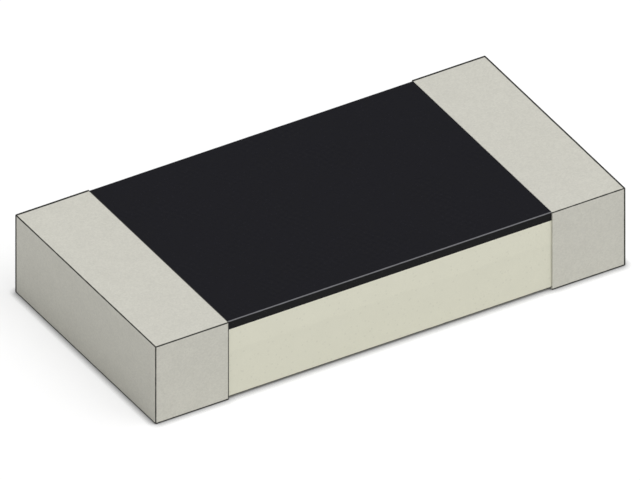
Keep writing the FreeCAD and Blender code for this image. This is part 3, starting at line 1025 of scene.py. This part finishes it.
@dataclass
class EndCaps(SubAssembly):
    """The wrapped caps: fired silver and nickel inside, matt tin outside."""

    depth: float = 0.0010
    swells: tuple[Swell, ...] = (
        Swell((4.3, 3.7, 4.3), 0.4, start=3.0),
        Swell((17, 17, 17), 0.1),
    )
    spacing: float = 0.016  # the widest step of the tin's mesh
    inner_spacing: float = 0.1  # the same, on its hidden inside
    hold: float = 0.003  # a short step next to its roundings
    edge_radius: float = 0.008  # of the tin's outer edges
    rim_radius: float = 0.003
    rim_steps: int = 3  # the steps round the rim's rounding
    thickness: float = 0.004  # of the tin
    ceramic_radius: float = 0.004  # of the ceramic's edges, where the tin's rim meets them
    # The tin's edges get painted dark outlines, wider on the edges that outline the fuse from the
    # camera.
    edge_line: float = 0.0085  # how wide the dark line painted on the tin's outer edges is
    end_widening: float = 0.0096  # how much further in the painted line goes from the right end, on top
    corner_widening: float = 0.0074  # the same from the right end, on its front corner
    side_widening: float = 0.0145  # the same from the back, on the left end
    back_widening: float = 0.0140  # the same from the back, on top
    foot_widening: float = 0.0055  # the same from the underside
    rim_shadow_width: float = 0.0090  # how wide the painted shadow along the left rim is
    silver: Finish = PlatedMetal(
        "fired_silver",
        (0.72, 0.70, 0.64),
        roughness=(0.45, 0.62),
        grain=0.0225,
        contrast=0.12,
        relief=0.001,
    )
    nickel: Finish = PlatedMetal(
        "nickel", (0.52, 0.49, 0.43), roughness=(0.3, 0.45), grain=0.0125, mottle=0.1
    )

    def rim_hole(self, ring: list[Point], top: float) -> list[Point]:
        """Find where the rim meets the ceramic and the contact, for each point of a ring.

        Args:
            ring: points of the tin's outline.
            top: the height of the tin's top.

        Returns:
            The matching points of the rim's hole.
        """
        ceramic_low, ceramic_high = packed_box("ceramic_substrate")
        contact_high = packed_box("top_electrode_right")[1]
        corner_y = ceramic_high.y - self.ceramic_radius
        low = ceramic_low.z + self.ceramic_radius
        high = ceramic_high.z - self.ceramic_radius
        outer_low, outer_high = self.edge_radius, top - self.edge_radius
        hole = []
        for y, z in ring:
            if abs(y) <= corner_y + MERGE_DISTANCE:
                above = contact_high if abs(y) < contact_high.y else ceramic_high
                hole.append((y, ceramic_low.z if z < outer_low else above.z))
            elif outer_low <= z <= outer_high:
                hole.append((math.copysign(ceramic_high.y, y), max(low, min(high, z))))
            else:
                centre, corner_z = (outer_low, low) if z < outer_low else (outer_high, high)
                angle = math.atan2(z - centre, abs(y) - corner_y)
                reach_y = corner_y + self.ceramic_radius * math.cos(angle)
                height = corner_z + self.ceramic_radius * math.sin(angle)
                hole.append((math.copysign(reach_y, y), height))
        return hole

    def draft_tin(self, end: End) -> MeshDraft:
        """Draft the tin skin of one end as a closed shell.

        Args:
            end: which end.

        Returns:
            The draft.
        """
        low, high = packed_box(f"tin_cap_{end.label}")
        rim_x, end_x = sorted((abs(low.x), abs(high.x)))
        outline = SectionOutline(high.y, low.z, high.z, self.edge_radius, self.spacing)
        draft = MeshDraft()

        def skin(rim: list[Corner], flat: list[float], inset: float, relief: float) -> list[int]:
            """Add the outside or the inside of the tin, with its end face.

            Args:
                rim: the distance, the inset and the relief of each ring at its rim.
                flat: the distances of the rings after them.
                inset: how far it lies inside the tin's outline.
                relief: how much of the tin's relief it takes past its rim.

            Returns:
                The ring that it starts with.
            """
            edge = rounding(self.edge_radius - inset, outline.arc_steps)[1:]
            stops = rim + [(x, inset, relief) for x in flat]
            stops += [(flat_end + on, inset + drop, relief) for on, drop in edge]
            stops = [(end.value * x, drop, share) for x, drop, share in stops]
            rings = outline.stations(draft, stops)
            outline.end_face(draft, stops[-1][0], relief)
            return rings[0]

        flat_start, flat_end = rim_x + self.rim_radius, end_x - self.edge_radius
        rim = reversed(rounding(self.rim_radius, self.rim_steps))
        rim = [(flat_start - on, inset, 0.0) for on, inset in rim]
        flat = spread(flat_start, flat_end, self.spacing, self.hold)[1:]
        outer = skin(rim, flat, 0.0, 1.0)
        inner_x = rim_x + self.thickness
        inner = skin([], spread(inner_x, flat_end, self.inner_spacing), self.thickness, 0.0)
        hole = self.rim_hole(outline.ring(self.rim_radius), high.z)
        inside = [draft.row([(end.value * x, y, z) for y, z in hole]) for x in (rim_x, inner_x)]
        draft.sheet([outer, *inside, inner], closed=True)
        return draft

    def painted_lines(self, end: End) -> tuple[Arris, ...]:
        """Give the blocks along whose edges dark outlines are painted on the tin of one end.

        Args:
            end: which end.

        Returns:
            The blocks, at the left end also the one that ends at the rim, for a painted shadow at
            the seam.
        """
        low, high = packed_box(f"tin_cap_{end.label}")
        foot = low.z + self.foot_widening
        line = {"width": self.edge_line, "ragged": 0.003}
        back_top = Arris((-FAR, -FAR, -FAR), (FAR, high.y - self.back_widening, high.z), **line)
        if end is End.LEFT:
            side = high.y - self.side_widening
            outer = Arris((low.x, low.y, foot), (FAR, side, high.z), **line)
            # A painted shadow along the left rim, at the seam with the ceramic.
            rim = Arris((-FAR, low.y, low.z), tuple(high), width=self.rim_shadow_width, ragged=0.001)
            return back_top, outer, rim
        end_top = Arris((-FAR, -FAR, -FAR), (high.x - self.end_widening, FAR, high.z), **line)
        front = Arris((-FAR, low.y, foot), (high.x - self.corner_widening, FAR, high.z), **line)
        back = Arris((-FAR, -FAR, foot), (high.x, high.y, FAR), **line)
        return back_top, end_top, front, back

    def build(self) -> None:
        """Build the two tin skins and dress the layers inside them."""
        silver, nickel = self.silver.make(), self.nickel.make()
        for end in End:
            # The two ends differ only in their painted lines.
            tin = PlatedMetal(
                f"matt_tin_{end.label}",
                (0.581, 0.573, 0.518),
                arrises=self.painted_lines(end),
                roughness=(0.56, 0.68),
                specular=0.1,
                grain=0.0225,
                mottle=0.14,
                contrast=0.085,
                relief=0.0003,
                metallic=(0.55, 0.7),
            )
            piece = self.draft_tin(end).build(f"tin_skin_{end.label}", tin.make(), self.uneven)
            self.settle(piece, f"tin_cap_{end.label}", "matt_tin")
            self.dress(f"nickel_barrier_{end.label}", nickel)
            self.dress(f"base_cap_{end.label}", silver)


# Studio


@dataclass
class Studio:
    """White floor, soft light and the camera, none of them part of the fuse."""

    sky: float = 0.58  # the even light from all round
    lamp_direction: Corner = (0.20, -0.25, 0.48)  # where the soft lamp stands
    lamp_strength: float = 1.65
    lamp_spread: float = 50.0  # its angle across, which softens its shadow
    floor_reach: float = 60.0
    floor_colour: float = 0.68  # how much light the floor sends back on the fuse
    floor_mirrored: float = 0.9  # how much of it reflections see
    floor_glow: float = 0.68  # its own white, which lightens the shadow for the camera
    floor_share: float = 0.35  # how much of the light on it the camera sees on top of that
    painted_shadow_reach: float = 0.05  # how near the fuse its own white fades, a painted contact shadow
    painted_shadow_fade: float = 2.0  # how steeply it fades there
    camera_azimuth: float = -30.92159  # the camera's turn from straight in front
    camera_elevation: float = 34.44554
    view_width: float = 3.7343  # of the picture, on the fuse
    aim_up: float = 0.2254  # how far above the fuse's origin the picture's centre lies
    aim_right: float = -0.0020  # how far right of the origin it lies
    distance: float = 12.0  # how far off the camera and the lamp stand

    def seen_by(self, bench: NodeBench, *kinds: Ray) -> Socket:
        """Give 1 for rays of some kinds and 0 for all others."""
        rays = bench.add("LightPath")
        return bench.greatest(rays[kind.value] for kind in kinds)

    def build_world(self) -> None:
        """Build the even light, white where it is looked at."""
        world = bpy.data.worlds.new("studio")
        world.use_nodes = True
        bpy.context.scene.world = world
        bench = NodeBench(world.node_tree)
        light = bench.add("Background", WHITE, self.sky)[0]
        white = bench.add("Background", WHITE, 1.0)[0]
        mixed = bench.add("MixShader", self.seen_by(bench, *Ray), light, white)[0]
        bench.add("OutputWorld", mixed)

    def build_floor(self) -> None:
        """Build the floor, white where it is looked at, with the fuse's shadow and a painted
        contact shadow.
        """
        draft = MeshDraft()
        values = spread(-self.floor_reach, self.floor_reach, self.floor_reach / 2)
        draft.sheet([draft.row([(x, y, 0.0) for x in values]) for y in values])
        material = bpy.data.materials.new("white_floor")
        material.use_nodes = True
        bench = NodeBench(material.node_tree)
        camera = self.seen_by(bench, Ray.CAMERA)
        mirrored = self.seen_by(bench, Ray.GLOSSY, Ray.TRANSMISSION)
        levels = (self.floor_colour, self.floor_mirrored, self.floor_share)
        plain, reflected, looked_at = ((level, level, level, 1.0) for level in levels)
        colour = bench.mix(camera, bench.mix(mirrored, plain, reflected), looked_at)
        reach = self.painted_shadow_reach / METRE
        # Its own white fades where ambient occlusion finds the fuse close by: a painted contact
        # shadow.
        open_share = bench.add("AmbientOcclusion", samples=8, Distance=reach)["AO"]
        near = bench.maths("POWER", open_share, self.painted_shadow_fade)
        strength = bench.maths("MULTIPLY", bench.maths("MULTIPLY", camera, self.floor_glow), near)
        lit, glow = bench.add("BsdfDiffuse", colour)[0], bench.add("Emission", WHITE, strength)[0]
        bench.add("OutputMaterial", bench.add("AddShader", lit, glow)[0])
        draft.build("floor", material)
        log.info("floor: %.0f mm across", 2 * self.floor_reach)

    def stand(self, thing: bpy.types.ID, back: Vector, aim: Vector) -> bpy.types.Object:
        """Stand the lamp or the camera at its distance.

        Args:
            thing: the lamp or the camera.
            back: the direction that it looks away from.
            aim: what it looks at.

        Returns:
            The object that holds it.
        """
        holder = bpy.data.objects.new(thing.name, thing)
        holder.location = (back * self.distance + aim) / METRE
        holder.rotation_mode = "QUATERNION"
        holder.rotation_quaternion = back.to_track_quat("Z", "Y")
        bpy.context.scene.collection.objects.link(holder)
        return holder

    def build_lamp(self) -> None:
        """Build the soft lamp above and in front of the fuse."""
        lamp = bpy.data.lights.new("soft_lamp", "SUN")
        lamp.energy = self.lamp_strength
        lamp.angle = math.radians(self.lamp_spread)
        self.stand(lamp, Vector(self.lamp_direction).normalized(), Vector())

    def build_camera(self) -> None:
        """Build the parallel camera at the viewing angle of the picture."""
        turn, rise = math.radians(self.camera_azimuth), math.radians(self.camera_elevation)
        flat = math.cos(rise)
        back = Vector((math.sin(turn) * flat, -math.cos(turn) * flat, math.sin(rise)))
        right = Vector((math.cos(turn), math.sin(turn), 0.0))
        aim = back.cross(right) * self.aim_up + right * self.aim_right
        camera = bpy.data.cameras.new("camera")
        camera.type = "ORTHO"
        camera.ortho_scale = self.view_width / METRE
        camera.clip_start, camera.clip_end = 0.0001, 1.0
        bpy.context.scene.camera = self.stand(camera, back, aim)

    def build(self) -> None:
        """Build all of the studio."""
        bpy.context.scene.view_settings.view_transform = "Standard"
        self.build_world()
        self.build_floor()
        self.build_lamp()
        self.build_camera()


def main() -> None:
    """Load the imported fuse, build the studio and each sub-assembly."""
    logging.basicConfig(level=logging.INFO, format="%(name)s: %(message)s")
    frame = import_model()
    Studio().build()
    for assembly in (CeramicBlock, FuseLink, BlackCoat, PrintedContacts, EndCaps):
        assembly(frame).build()


if __name__ == "__main__":
    main()
